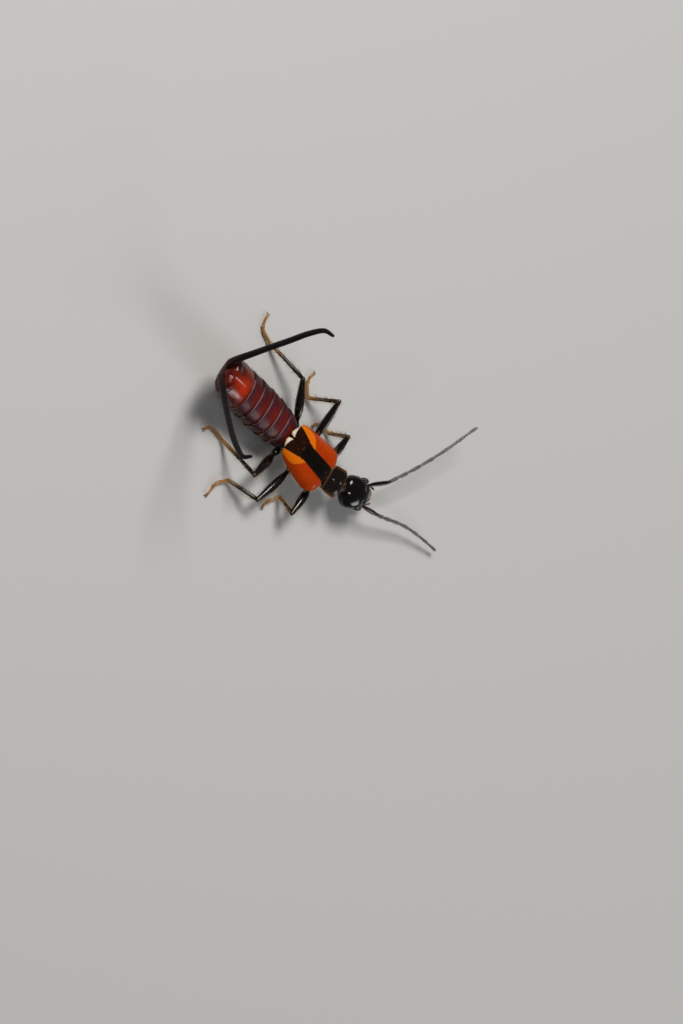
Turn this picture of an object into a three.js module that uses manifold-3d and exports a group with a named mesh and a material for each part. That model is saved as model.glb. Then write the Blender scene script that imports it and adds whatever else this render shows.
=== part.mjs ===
// A life-size male earwig, standing still with its tail raised and its long forceps held up and open.
// Millimetres. +X runs from the middle of the thorax to the head, +Y to the animal's left, and +Z up.
// The floor is z = 0.
import * as THREE from "three";
import { mergeVertices } from "three/addons/utils/BufferGeometryUtils.js";
import Module from "manifold-3d";

const wasm = await Module();
wasm.setup();

// Driving sizes
const GAP = 0.24; // the thin cut between two parts that touch
const CENTRE = { x: 1.5, y: 1.59 }; // the middle of the whole animal's box, in thorax coordinates
const SIDES = { left: 1, right: -1 };
const THORAX = { middle: 0.02, half: 1.65, halfWidth: 0.8, halfHeight: 0.4, height: 1.34 };
const ELYTRON = {
  front: 1.72,
  back: -1.88,
  shoulder: 1.6, // half the width across both cases at the front
  rear: 1.2, // and at the back
  top: 2.5,
  slope: 0.03,
  thick: 0.48,
  droop: 0.42, // how far the outer side turns down
};
const WING_TIP = { length: 0.24, width: 0.56, thick: 0.42, out: 0.4, height: 2.16 };
const PRONOTUM = {
  middle: [2.6, 0.24, 1.66],
  half: 0.62,
  front: 0.93, // half the width at the front
  rear: 0.84,
  up: 0.62,
  down: 0.64,
  yaw: 0.21,
};
const HEAD = {
  middle: [4.68, 0.93, 1.7],
  back: -1.12,
  front: 1.08,
  halfWidth: 1.02,
  halfHeight: 0.58,
  yaw: 0.5,
};
const MOUTH = { back: 1.0, front: 1.62, halfWidth: 0.42, halfHeight: 0.26, up: -0.3 };
const EYE = { forward: 0.34, out: 0.83, up: 0.1, half: [0.34, 0.27, 0.3] };
// The lengths of the five plain rings of the abdomen, front to back
const RINGS = [0.95, 0.98, 1.08, 1.14, 1.15];
const ABDOMEN = { halfWidth: 1.38, halfHeight: 0.88, step: 0.07 };
const ABDOMEN_PATH = [
  [-1.87, 0.12, 1.38],
  [-3.84, -0.06, 1.5],
  [-5.79, -0.29, 1.78],
  [-7.66, -0.56, 2.3],
  [-9.2, -0.8, 3.0],
];
const FORCEPS_RADII = [0.28, 0.25, 0.24, 0.22, 0.2, 0.16, 0.08];
const FORCEPS_PATH = {
  left: [
    [-9.2, -0.4, 2.75],
    [-9.6, -0.23, 3.2],
    [-9.69, 1.01, 4.86],
    [-9.75, 2.26, 6.65],
    [-9.79, 3.1, 7.83],
    [-9.71, 3.6, 8.75],
    [-9.46, 3.58, 9.34],
  ],
  right: [
    [-9.1, -1.1, 2.65],
    [-9.42, -1.25, 3.1],
    [-9.13, -2.74, 4.74],
    [-8.82, -4.31, 6.72],
    [-8.64, -4.94, 7.68],
    [-8.48, -5.3, 8.48],
    [-8.42, -5.1, 9.0],
  ],
};
const ANTENNA_RADII = [0.27, 0.25, 0.25, 0.25, 0.22, 0.12];
const ANTENNA_PATH = {
  left: [
    [4.9, 1.45, 1.75],
    [5.9, 2.85, 1.86],
    [6.2, 3.3, 1.9],
    [6.74, 4.51, 2.03],
    [7.5, 6.61, 2.24],
    [8.19, 9.22, 2.5],
  ],
  right: [
    [5.2, 0.6, 1.78],
    [6.9, 1.08, 1.56],
    [7.4, 1.25, 1.48],
    [9.48, 2.12, 1.1],
    [11.2, 2.55, 0.8],
    [12.94, 2.84, 0.5],
  ],
};
// Each leg has its root inside the body, hip, knee, and a foot whose four points lie on the floor.
const LEG = {
  radii: [0.25, 0.25, 0.29, 0.26, 0.25, 0.25, 0.25, 0.17],
  thickest: 0.35, // the share of the thigh where it is thickest
  ankle: 0.28, // heights of the foot's middle line above the floor
  sole: 0.18,
  toe: 0.11,
};
const LEGS = {
  fore_left: {
    root: [2.3, 0.5],
    hip: [2.1, 0.95, 1.1],
    knee: [1.66, 2.86, 1.74],
    foot: { ankle: [1.42, 2.57], arch: [0.82, 2.55], bend: [0.4, 2.42], toe: [0.31, 2.07] },
  },
  fore_right: {
    root: [2.3, -0.2],
    hip: [2.2, -0.75, 1.1],
    knee: [2.01, -2.92, 1.59],
    foot: { ankle: [1.5, -2.36], arch: [1.22, -2.95], bend: [1.06, -3.35], toe: [1.17, -3.7] },
  },
  middle_left: {
    root: [0.3, 0.4],
    hip: [0.25, 1.15, 1.08],
    knee: [-0.83, 3.71, 2.2],
    foot: { ankle: [-1.37, 3.03], arch: [-1.9, 3.55], bend: [-2.1, 4.05], toe: [-1.99, 4.54] },
  },
  middle_right: {
    root: [0.3, -0.4],
    hip: [0.25, -1.15, 1.08],
    knee: [-0.45, -3.93, 1.38],
    foot: { ankle: [-2.24, -4.15], arch: [-2.7, -4.85], bend: [-2.68, -5.42], toe: [-2.7, -5.9] },
  },
  hind_left: {
    root: [-1.1, 0.4],
    hip: [-1.45, 1.1, 1.08],
    knee: [-3.58, 3.08, 1.67],
    foot: { ankle: [-6.1, 3.46], arch: [-7.0, 3.72], bend: [-7.32, 4.2], toe: [-7.38, 4.73] },
  },
  hind_right: {
    root: [-1.1, -0.4],
    hip: [-1.4, -1.1, 1.08],
    knee: [-2.65, -3.48, 2.58],
    foot: { ankle: [-4.22, -2.79], arch: [-4.94, -2.73], bend: [-5.66, -2.85], toe: [-5.92, -3.33] },
  },
};

// Turns a three.js geometry into a closed solid whose shared corners are merged.
function solid(geometry) {
  const bare = geometry.clone();
  const spare = Object.keys(bare.attributes).filter((name) => name !== "position");
  for (const name of spare) bare.deleteAttribute(name);
  const merged = mergeVertices(bare, 1e-4);
  const whole = triangles(merged, false);
  return whole.volume() > 0 ? whole : triangles(merged, true);
}

function triangles(merged, flip) {
  const corners = new Uint32Array(merged.index.array);
  if (flip) corners.reverse();
  return new wasm.Manifold(
    new wasm.Mesh({
      numProp: 3,
      vertProperties: new Float32Array(merged.attributes.position.array),
      triVerts: corners,
    }),
  );
}

// Joins solids and keeps the largest closed surface.
function fuse(pieces) {
  const joined = pieces.reduce((sum, piece) => sum.add(piece));
  return largest(joined);
}

function largest(made) {
  return made.decompose().reduce((best, body) => (body.volume() > best.volume() ? body : best));
}

function geometryOf(made) {
  const mesh = largest(made.simplify(0.008)).getMesh();
  const geometry = new THREE.BufferGeometry();
  const positions = new Float32Array(mesh.numVert * 3);
  for (let i = 0; i < mesh.numVert; i += 1) {
    positions.set(mesh.vertProperties.subarray(i * mesh.numProp, i * mesh.numProp + 3), i * 3);
  }
  geometry.setAttribute("position", new THREE.BufferAttribute(positions, 3));
  geometry.setIndex(new THREE.BufferAttribute(new Uint32Array(mesh.triVerts), 1));
  geometry.computeVertexNormals();
  return geometry;
}

// A closed skin: place(t, angle, rho) says where each point of a capped cylinder goes.
function skin(sides, rows, place) {
  const geometry = new THREE.CylinderGeometry(1, 1, 1, sides, rows, false);
  const position = geometry.attributes.position;
  const p = new THREE.Vector3();
  for (let i = 0; i < position.count; i += 1) {
    p.fromBufferAttribute(position, i);
    const made = place(p.y + 0.5, Math.atan2(p.x, p.z), Math.hypot(p.x, p.z));
    position.setXYZ(i, made.x, made.y, made.z);
  }
  return solid(geometry);
}

// A chain of tapered rods with round joints, through points with one radius each.
const JOINT_SWELL = 1.05;
const JOINT_TURN = 0.2; // keeps a joint's facets off the planes of its rods' facets
function chain(points, radii, sides = 8) {
  const spots = points.map((p) => new THREE.Vector3(...p));
  const up = new THREE.Vector3(0, 1, 0);
  const pieces = [];
  for (let i = 0; i + 1 < spots.length; i += 1) {
    const along = spots[i + 1].clone().sub(spots[i]);
    const rod = new THREE.CylinderGeometry(radii[i + 1], radii[i], along.length(), sides, 1);
    const turn = new THREE.Quaternion().setFromUnitVectors(up, along.clone().normalize());
    const middle = spots[i].clone().addScaledVector(along, 0.5);
    rod.applyQuaternion(turn).translate(middle.x, middle.y, middle.z);
    pieces.push(solid(rod));
  }
  for (let i = 1; i < spots.length; i += 1) {
    const r = radii[i] * JOINT_SWELL;
    pieces.push(ball(points[i], [r, r, r], JOINT_TURN, sides, 6));
  }
  return fuse(pieces);
}

// A smooth curve through points.
function curveThrough(points) {
  const spots = points.map((p) => new THREE.Vector3(...p));
  return new THREE.CatmullRomCurve3(spots, false, "centripetal");
}

// A smooth tapered tube through points, rounded at its far end.
function tube(points, radius, sides, rows) {
  const curve = curveThrough(points);
  const frames = curve.computeFrenetFrames(rows, false);
  const spots = Array.from({ length: rows + 1 }, (_, i) => curve.getPointAt(i / rows));
  return skin(sides, rows, (t, angle, rho) => {
    const row = Math.round(t * rows);
    const r = radius(t) * rho;
    return spots[row]
      .clone()
      .addScaledVector(frames.normals[row], r * Math.cos(angle))
      .addScaledVector(frames.binormals[row], r * Math.sin(angle));
  });
}

// A ball stretched to half sizes and turned to a yaw, about its middle.
function ball(middle, half, yaw = 0, sides = 12, rows = 8) {
  const geometry = new THREE.SphereGeometry(1, sides, rows);
  geometry.scale(...half).rotateZ(yaw).translate(...middle);
  return solid(geometry);
}

// The distance from the middle to the rim of a squarish oval, at an angle.
function oval(angle, a, b, power = 2.6) {
  const c = Math.abs(Math.cos(angle)) / a;
  const s = Math.abs(Math.sin(angle)) / b;
  return (c ** power + s ** power) ** (-1 / power);
}

// A value read between evenly spaced levels at share t.
function level(values, t) {
  const spot = THREE.MathUtils.clamp(t, 0, 1) * (values.length - 1);
  const i = Math.min(Math.floor(spot), values.length - 2);
  return THREE.MathUtils.lerp(values[i], values[i + 1], spot - i);
}

const group = new THREE.Group();
group.position.set(-CENTRE.x, -CENTRE.y, 0);

const finishes = {
  black_shell: { color: 0x0c0a09, roughness: 0.25, metalness: 0 },
  orange_shell: { color: 0xb8360a, roughness: 0.35, metalness: 0 },
  cream_membrane: { color: 0xf1e3c4, roughness: 0.45, metalness: 0 },
  red_shell: { color: 0x5c120c, roughness: 0.35, metalness: 0 },
  bright_red_shell: { color: 0x8f1c08, roughness: 0.25, metalness: 0 },
  forceps_brown: { color: 0x170c0a, roughness: 0.4, metalness: 0 },
  leg_black: { color: 0x120e0c, roughness: 0.3, metalness: 0 },
  feeler_brown: { color: 0x241b18, roughness: 0.45, metalness: 0 },
  mouth_brown: { color: 0x4a2a16, roughness: 0.4, metalness: 0 },
  eye_black: { color: 0x050505, roughness: 0.12, metalness: 0 },
};

function add(name, made, finish) {
  const mesh = new THREE.Mesh(geometryOf(largest(made)), new THREE.MeshStandardMaterial(finishes[finish]));
  mesh.name = name;
  group.add(mesh);
}

// Thorax: the narrow body under the wing cases, which carries the middle and hind legs.
function thorax(grow) {
  const half = THORAX.half + grow;
  return skin(20, 8, (t, angle, rho) => {
    const swell = level([0.72, 1, 1, 1, 1, 1, 1, 1, 0.72], t);
    const r = (oval(angle, THORAX.halfWidth, THORAX.halfHeight) * swell + grow) * rho;
    const x = THORAX.middle + THREE.MathUtils.lerp(-half, half, t);
    return new THREE.Vector3(x, r * Math.cos(angle), THORAX.height + r * Math.sin(angle));
  });
}

// Wing cases: two plates that meet along the back, wide at the shoulders, with sides that turn down.
function caseTop(x, y) {
  const span = THREE.MathUtils.mapLinear(x, ELYTRON.front, ELYTRON.back, ELYTRON.shoulder, ELYTRON.rear);
  return ELYTRON.top + ELYTRON.slope * x - ELYTRON.droop * Math.min(1, Math.abs(y) / span) ** 4;
}

function elytron(side, grow) {
  const seam = GAP / 2 - grow;
  const front = ELYTRON.front + grow;
  const back = ELYTRON.back - grow;
  const shoulder = ELYTRON.shoulder + grow;
  const rear = ELYTRON.rear + grow;
  // Rows run from the front edge to the back edge, and each ring runs round one cut across the plate.
  return skin(16, 12, (t, angle, rho) => {
    const x = THREE.MathUtils.lerp(front, back, t);
    const corner = level([0.74, 0.95, 1, 1, 1, 1, 1, 1, 1, 1, 0.99, 0.95, 0.72], t);
    const half = (corner * THREE.MathUtils.lerp(shoulder, rear, t) - seam) / 2;
    const squeeze = level([0.55, 1, 1, 1, 1, 1, 1, 1, 1, 1, 1, 1, 0.55], t);
    const r = oval(angle, half, (ELYTRON.thick / 2 + grow) * squeeze, 5) * rho;
    const y = seam + half + r * Math.cos(angle);
    const z = caseTop(x, y) - ELYTRON.thick / 2 + r * Math.sin(angle);
    return new THREE.Vector3(x, y * side, z);
  });
}

// Wing tips: the small leathery ends of the folded wings, which show behind the wing cases.
function wingTip(side, grow) {
  const start = ELYTRON.back - GAP + grow;
  return skin(12, 5, (t, angle, rho) => {
    const taper = level([0.9, 1, 0.9, 0.75, 0.55, 0.25], t);
    const r = (oval(angle, WING_TIP.width / 2, WING_TIP.thick / 2) * taper + grow) * rho;
    return new THREE.Vector3(
      start - t * (WING_TIP.length + 2 * grow),
      side * (WING_TIP.out - 0.1 * t) + r * Math.cos(angle),
      WING_TIP.height - 0.06 * t + r * Math.sin(angle),
    );
  });
}

// Prothorax: a squarish shield with rounded corners, and the body below it that carries the fore legs.
function pronotum(grow) {
  const half = PRONOTUM.half + grow;
  return skin(24, 8, (t, angle, rho) => {
    const wide = THREE.MathUtils.lerp(PRONOTUM.rear, PRONOTUM.front, t);
    const corner = level([0.84, 0.97, 1, 1, 1, 1, 1, 0.97, 0.86], t);
    const upper = Math.sin(angle) > 0;
    const tall = upper ? PRONOTUM.up : PRONOTUM.down;
    const r = (oval(angle, wide, tall, upper ? 3.2 : 1.8) * corner + grow) * rho;
    return new THREE.Vector3(THREE.MathUtils.lerp(-half, half, t), r * Math.cos(angle), r * Math.sin(angle))
      .applyAxisAngle(new THREE.Vector3(0, 0, 1), PRONOTUM.yaw)
      .add(new THREE.Vector3(...PRONOTUM.middle));
  });
}

// Head: a flattened heart shape, broadest behind the eyes, with a short neck.
function inHead(forward, left, up) {
  return new THREE.Vector3(forward, left, up)
    .applyAxisAngle(new THREE.Vector3(0, 0, 1), HEAD.yaw)
    .add(new THREE.Vector3(...HEAD.middle));
}

const HEAD_WIDE = [0.42, 0.62, 0.88, 0.97, 1, 1, 1, 0.99, 0.96, 0.9, 0.83, 0.76, 0.67, 0.55, 0.38];
const HEAD_TALL = [0.55, 0.66, 0.82, 0.93, 0.98, 1, 1, 0.99, 0.96, 0.91, 0.84, 0.75, 0.64, 0.5, 0.32];

function head(grow) {
  return skin(24, HEAD_WIDE.length - 1, (t, angle, rho) => {
    const wide = level(HEAD_WIDE, t);
    const tall = level(HEAD_TALL, t);
    const r = (oval(angle, HEAD.halfWidth * wide, HEAD.halfHeight * tall, 2.3) + grow) * rho;
    const forward = THREE.MathUtils.lerp(HEAD.back - grow, HEAD.front + grow, t);
    return inHead(forward, r * Math.cos(angle), r * Math.sin(angle) - 0.08 * t * t);
  });
}

// Mouthparts: the upper lip and the jaws' ends, as one low plate in front of the head.
function mouth(grow) {
  return skin(14, 6, (t, angle, rho) => {
    const wide = level([0.75, 0.95, 1, 1, 0.85, 0.62, 0.4], t);
    const r = (oval(angle, MOUTH.halfWidth * wide, MOUTH.halfHeight * Math.sqrt(wide)) + grow) * rho;
    const forward = THREE.MathUtils.lerp(MOUTH.back, MOUTH.front, t);
    return inHead(forward, r * Math.cos(angle), r * Math.sin(angle) + MOUTH.up);
  });
}

function eye(side, grow) {
  const middle = inHead(EYE.forward, EYE.out * side, EYE.up).toArray();
  return ball(middle, EYE.half.map((h) => h + grow), HEAD.yaw, 16, 12);
}

// Abdomen: five plain rings that overlap like a telescope, then one long last ring.
const ABDOMEN_WIDE = [0.8, 0.9, 0.96, 1, 1.01, 1.01, 1, 0.98, 0.95, 0.92, 0.86];
const ABDOMEN_TALL = [0.72, 0.88, 0.96, 1, 1, 1, 0.99, 0.97, 0.93, 0.82, 0.62];
const abdomenAxis = curveThrough(ABDOMEN_PATH);
const abdomenLength = abdomenAxis.getLength();

function abdomen(from, to, grow, rows) {
  const start = from - grow;
  const end = to + grow;
  return skin(32, rows, (t, angle, rho) => {
    const s = THREE.MathUtils.lerp(start, end, t);
    const share = THREE.MathUtils.clamp(s / abdomenLength, 0, 1);
    const spot = abdomenAxis.getPointAt(share);
    const along = abdomenAxis.getTangentAt(share);
    spot.addScaledVector(along, s - share * abdomenLength);
    const left = new THREE.Vector3(0, 0, -1).cross(along).normalize();
    const up = new THREE.Vector3().crossVectors(left, along).multiplyScalar(-1);
    const step = ringStep(s);
    const wide = level(ABDOMEN_WIDE, share) * ABDOMEN.halfWidth - step;
    const tall = level(ABDOMEN_TALL, share) * ABDOMEN.halfHeight - step;
    const r = (oval(angle, wide, tall, 2.3) + grow) * rho;
    return spot.addScaledVector(left, r * Math.cos(angle)).addScaledVector(up, r * Math.sin(angle));
  });
}

// How far the skin lies below the rear rim of its ring, at a distance along the abdomen.
function ringStep(s) {
  let before = 0;
  for (const length of RINGS) {
    if (s < before + length) return ABDOMEN.step * (1 - THREE.MathUtils.clamp((s - before) / length, 0, 1));
    before += length;
  }
  return ABDOMEN.step * 0.5;
}

// Legs: a hip rod, a thick thigh, a thin shin and a foot that lies flat on the floor.
function leg({ root, hip, knee, foot }) {
  const limb = [[...root, hip[2]], hip, mix(hip, knee, LEG.thickest), knee];
  const heights = { ankle: LEG.ankle, arch: LEG.sole, bend: LEG.sole, toe: LEG.toe };
  const sole = Object.entries(foot).map(([name, spot]) => [...spot, heights[name]]);
  const floor = new THREE.BoxGeometry(60, 60, 2).translate(0, 0, -1);
  return chain([...limb, ...sole], LEG.radii).subtract(solid(floor));
}

function mix(a, b, share) {
  return a.map((value, i) => value + (b[i] - value) * share);
}

function cut(made, others) {
  return others.reduce((left, other) => left.subtract(other), made);
}

const abdomenBreaks = [0, RINGS[0] + RINGS[1], RINGS.reduce((sum, length) => sum + length), abdomenLength];
const grown = {
  thorax: thorax(GAP),
  pronotum: pronotum(GAP),
  head: head(GAP),
  cases: elytron(1, GAP).add(elytron(-1, GAP)),
  wingTips: wingTip(1, GAP).add(wingTip(-1, GAP)),
  eyes: eye(1, GAP).add(eye(-1, GAP)),
  abdomen: abdomen(0, abdomenLength, GAP, 30),
};

add("thorax", thorax(0), "black_shell");
add("pronotum", pronotum(0), "black_shell");
add("head", cut(head(0), [grown.pronotum, grown.eyes]), "black_shell");
add("mouthparts", cut(mouth(0), [grown.head]), "mouth_brown");
for (const [name, side] of Object.entries(SIDES)) {
  add(`elytron_${name}`, cut(elytron(side, 0), [grown.pronotum]), "orange_shell");
  add(`wing_tip_${name}`, wingTip(side, 0), "cream_membrane");
  add(`eye_${name}`, eye(side, 0), "eye_black");
}

const coverings = [grown.cases, grown.wingTips, grown.thorax];
const half = GAP / 2;
add("abdomen_front", cut(abdomen(abdomenBreaks[0], abdomenBreaks[1] - half, 0, 12), coverings), "red_shell");
add("abdomen_middle", abdomen(abdomenBreaks[1] + half, abdomenBreaks[2] - half, 0, 18), "red_shell");
add("abdomen_rear", abdomen(abdomenBreaks[2] + half, abdomenBreaks[3], 0, 12), "bright_red_shell");

for (const name of Object.keys(SIDES)) {
  const pincer = tube(FORCEPS_PATH[name], (t) => level(FORCEPS_RADII, t), 12, 24);
  add(`forceps_${name}`, cut(pincer, [grown.abdomen]), "forceps_brown");
}

for (const name of Object.keys(SIDES)) {
  const feeler = tube(ANTENNA_PATH[name], (t) => level(ANTENNA_RADII, t), 10, 20);
  add(`antenna_${name}`, cut(feeler, [grown.head, grown.eyes]), "feeler_brown");
}

for (const [name, part] of Object.entries(LEGS)) {
  const bodies = [grown.thorax, grown.pronotum, grown.cases, grown.abdomen];
  add(`leg_${name}`, cut(leg(part), bodies), "leg_black");
}

export default group;
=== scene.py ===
# A life-size earwig that stands still with its tail raised and its long forceps held up and open.
import math
import random
import bmesh
import bpy
import numpy as np
from mathutils import Matrix, Vector


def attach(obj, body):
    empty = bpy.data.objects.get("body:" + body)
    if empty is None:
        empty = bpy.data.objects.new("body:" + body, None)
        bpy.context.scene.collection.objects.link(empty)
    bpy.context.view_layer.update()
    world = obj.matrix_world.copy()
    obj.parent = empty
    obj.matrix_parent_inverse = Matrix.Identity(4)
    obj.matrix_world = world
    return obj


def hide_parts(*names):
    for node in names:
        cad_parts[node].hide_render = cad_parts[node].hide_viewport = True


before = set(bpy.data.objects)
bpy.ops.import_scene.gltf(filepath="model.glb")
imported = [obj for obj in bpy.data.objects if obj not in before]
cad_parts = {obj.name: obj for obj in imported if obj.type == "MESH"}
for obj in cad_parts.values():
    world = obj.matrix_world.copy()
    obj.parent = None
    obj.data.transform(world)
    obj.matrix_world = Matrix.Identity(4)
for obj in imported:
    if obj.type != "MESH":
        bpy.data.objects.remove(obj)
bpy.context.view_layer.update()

# Camera. It looks down from above and behind the animal's right side, rolled so that the head
# points to the lower right of the picture, with a long lens and the small animal left of centre.
# Shapes are given in millimetres from a point on the floor below the thorax: forward, left and up.
MM = 0.001
MIDDLE = np.array([1.5, 1.59, 0.0])
TOWARDS_CAMERA = (-0.5743, -0.2680, 0.7736)
PICTURE_UP = (-0.6232, 0.7560, -0.2008)
LOOKED_AT = (4.02, -0.86, 2.69)
CAMERA_DISTANCE = 1.5
SENSOR_WIDTH = 36
FOCAL_LENGTH = 885


def place(points):
    """Turns thorax millimetres into the frame's metres."""
    return (np.asarray(points, float) - MIDDLE) * MM


def add_object(name, data):
    """Puts a new object into the scene."""
    thing = bpy.data.objects.new(name, data)
    bpy.context.collection.objects.link(thing)
    return thing


towards = Vector(TOWARDS_CAMERA).normalized()
picture_up = Vector(PICTURE_UP).normalized()
picture_right = picture_up.cross(towards).normalized()
picture_up = towards.cross(picture_right)
camera_data = bpy.data.cameras.new("camera")
camera_data.sensor_width = SENSOR_WIDTH
camera_data.lens = FOCAL_LENGTH
camera_data.clip_start = 0.01
camera_data.clip_end = 20
camera = add_object("camera", camera_data)
eye_point = Vector(place(LOOKED_AT)) + towards * CAMERA_DISTANCE
turn_of_view = Matrix((picture_right, picture_up, towards)).transposed().to_4x4()
camera.matrix_world = Matrix.Translation(eye_point) @ turn_of_view
bpy.context.scene.camera = camera
bpy.context.scene.view_settings.view_transform = "Standard"

# Body under the shields: neck, the three thorax rings and the abdomen are one skin of tough horn and
# membrane. The abdomen's rings overlap like a telescope, and the last long ring carries the forceps.
AROUND = 72
ANGLES = [2 * math.pi * j / AROUND for j in range(AROUND)]
BODY_SQUARENESS = 2.3
# Each thorax ring is its middle, half its width and half its height, from the neck to the waist.
THORAX_RINGS = [
    ((4.0, 0.62, 1.72), 0.3, 0.26), ((3.55, 0.47, 1.7), 0.34, 0.3), ((3.3, 0.39, 1.66), 0.42, 0.36),
    ((3.05, 0.33, 1.62), 0.6, 0.46), ((2.6, 0.22, 1.58), 0.68, 0.52), ((2.15, 0.13, 1.52), 0.66, 0.52),
    ((1.95, 0.1, 1.52), 0.62, 0.53), ((1.7, 0.06, 1.54), 0.76, 0.66), ((1.2, 0.03, 1.55), 0.88, 0.71),
    ((0.5, 0.01, 1.56), 0.92, 0.72), ((0.1, 0.01, 1.56), 0.84, 0.69), ((-0.1, 0.02, 1.56), 0.86, 0.69),
    ((-0.7, 0.04, 1.54), 0.92, 0.7), ((-1.3, 0.08, 1.5), 0.88, 0.64), ((-1.7, 0.11, 1.42), 0.8, 0.54),
]
ABDOMEN_PATH = [
    (-1.87, 0.12, 1.38), (-3.84, -0.06, 1.5), (-5.79, -0.29, 1.78), (-7.66, -0.56, 2.3), (-9.2, -0.8, 3.0),
]
ABDOMEN_HALF_WIDTH = 1.38
ABDOMEN_HALF_HEIGHT = 0.88
ABDOMEN_WIDE = [0.8, 0.9, 0.96, 1, 1.01, 1.01, 1, 0.98, 0.95, 0.92, 0.86]
ABDOMEN_TALL = [0.72, 0.88, 0.96, 1, 1, 1, 0.99, 0.97, 0.93, 0.82, 0.62]
SKIN_INSET = 0.02
# The plain rings' lengths. The last ring takes up the rest of the abdomen.
RING_LENGTHS = [0.95, 0.98, 1.08, 1.14, 1.15]
LAST_NUMBER = len(RING_LENGTHS)
# How far a ring stands out at a share of its length.
PLAIN_RING = [
    (0, -0.11), (0.03, -0.095), (0.1, -0.07), (0.22, -0.045), (0.38, -0.025), (0.55, -0.012), (0.72, -0.004),
    (0.84, 0.0), (0.92, 0.0), (0.95, 0.006), (0.965, 0.012), (0.99, 0.012), (1.0, -0.004),
]
LAST_RING = [
    (0, -0.11), (0.015, -0.08), (0.05, -0.05), (0.12, -0.03), (0.22, -0.012), (0.34, 0.0), (0.46, 0.0),
    (0.58, 0.0), (0.69, 0.0), (0.78, 0.0), (0.84, 0.005), (0.88, 0.012), (0.91, 0.01), (0.935, 0.0),
    (0.955, -0.018), (0.973, -0.045), (0.988, -0.085), (1.0, -0.14),
]
MEMBRANE, MAROON, FLAME = 0, 1, 2


def run_along(points):
    """The distance run at each point of a path."""
    return np.r_[0, np.cumsum(np.linalg.norm(np.diff(points, axis=0), axis=1))]


def curve_points(points, count):
    """Evenly spaced points along a smooth curve through the given points."""
    spots = np.array(points, float)
    spots = np.vstack([2 * spots[0] - spots[1], spots, 2 * spots[-1] - spots[-2]])
    t = np.linspace(0, 1, 40)[:, None]
    dense = []
    for i in range(len(spots) - 3):
        p0, p1, p2, p3 = spots[i : i + 4]
        spans = ((p0, p1), (p1, p2), (p2, p3))
        d0, d1, d2 = (max(np.sqrt(np.linalg.norm(b - a)), 1e-4) for a, b in spans)
        slope1 = ((p1 - p0) / d0 - (p2 - p0) / (d0 + d1) + (p2 - p1) / d1) * d1
        slope2 = ((p2 - p1) / d1 - (p3 - p1) / (d1 + d2) + (p3 - p2) / d2) * d1
        square = -3 * p1 + 3 * p2 - 2 * slope1 - slope2
        cube = 2 * p1 - 2 * p2 + slope1 + slope2
        dense.append(p1 + slope1 * t + square * t**2 + cube * t**3)
    dense = np.vstack(dense)
    run = run_along(dense)
    keep = np.r_[True, np.diff(run) > 1e-9]
    spread = np.linspace(0, run[-1], count)
    return np.stack([np.interp(spread, run[keep], dense[keep, k]) for k in range(3)], 1)


def smooth_levels(levels, share):
    """Reads a list of evenly spaced levels at a share from 0 to 1, rounded between them."""
    fine = np.interp(np.linspace(0, 1, 201), np.linspace(0, 1, len(levels)), levels)
    soft = np.convolve(np.pad(fine, 8, mode="edge"), np.ones(17) / 17, mode="valid")
    return np.interp(share, np.linspace(0, 1, 201), soft)


def oval(angle, half_width, half_height, power):
    """Distance from the middle to the rim of a squarish oval."""
    across = (abs(math.cos(angle)) / half_width) ** power
    upward = (abs(math.sin(angle)) / half_height) ** power
    return (across + upward) ** (-1 / power)


def bump(value, middle, width):
    """A soft swell that is 1 at the middle and fades out over the width."""
    return math.exp(-(((value - middle) / width) ** 2))


def loft(rings, marks=None):
    """A closed shell through rings of points. A mark is a value for each ring or for each point."""
    rings = np.asarray(rings, float)
    rows, around = rings.shape[:2]
    points = np.vstack([rings.reshape(-1, 3), rings[0].mean(0), rings[-1].mean(0)])
    faces = []
    for i in range(rows - 1):
        for j in range(around):
            k = (j + 1) % around
            faces.append((i * around + j, i * around + k, (i + 1) * around + k, (i + 1) * around + j))
    first, last = rows * around, rows * around + 1
    for j in range(around):
        k = (j + 1) % around
        faces.append((first, k, j))
        faces.append((last, (rows - 1) * around + j, (rows - 1) * around + k))
    marked = {}
    for name, values in (marks or {}).items():
        values = np.asarray(values, float)
        if values.ndim == 1:
            values = np.repeat(values[:, None], around, 1)
        marked[name] = np.r_[values.reshape(-1), values[0].mean(), values[-1].mean()]
    return {"points": points, "faces": faces, "marks": marked, "slots": [0] * len(faces), "rings": rings}


def turn_outwards(mesh):
    """Turns every face of a mesh outwards."""
    work = bmesh.new()
    work.from_mesh(mesh)
    bmesh.ops.recalc_face_normals(work, faces=work.faces)
    work.to_mesh(mesh)
    work.free()


def make_piece(name, shells, finishes, nodes, smooth=True):
    """One object from one or more closed shells. It rides on the body and stands for its nodes."""
    points = np.vstack([place(shell["points"]) for shell in shells])
    marks = {key: [] for key in sorted({key for shell in shells for key in shell["marks"]})}
    faces, slots, start = [], [], 0
    for shell in shells:
        faces += [tuple(start + corner for corner in face) for face in shell["faces"]]
        slots += shell["slots"]
        for key in marks:
            marks[key].append(shell["marks"].get(key, np.zeros(len(shell["points"]))))
        start += len(shell["points"])
    mesh = bpy.data.meshes.new(name)
    mesh.from_pydata(points.tolist(), [], faces)
    mesh.polygons.foreach_set("material_index", slots)
    mesh.polygons.foreach_set("use_smooth", [smooth] * len(faces))
    for key, values in marks.items():
        layer = mesh.attributes.new(key, "FLOAT", "POINT")
        layer.data.foreach_set("value", np.concatenate(values).astype(np.float32))
    for finish in finishes:
        mesh.materials.append(finish)
    mesh.update()
    turn_outwards(mesh)
    piece = add_object(name, mesh)
    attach(piece, "root")
    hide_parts(*nodes)


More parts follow.
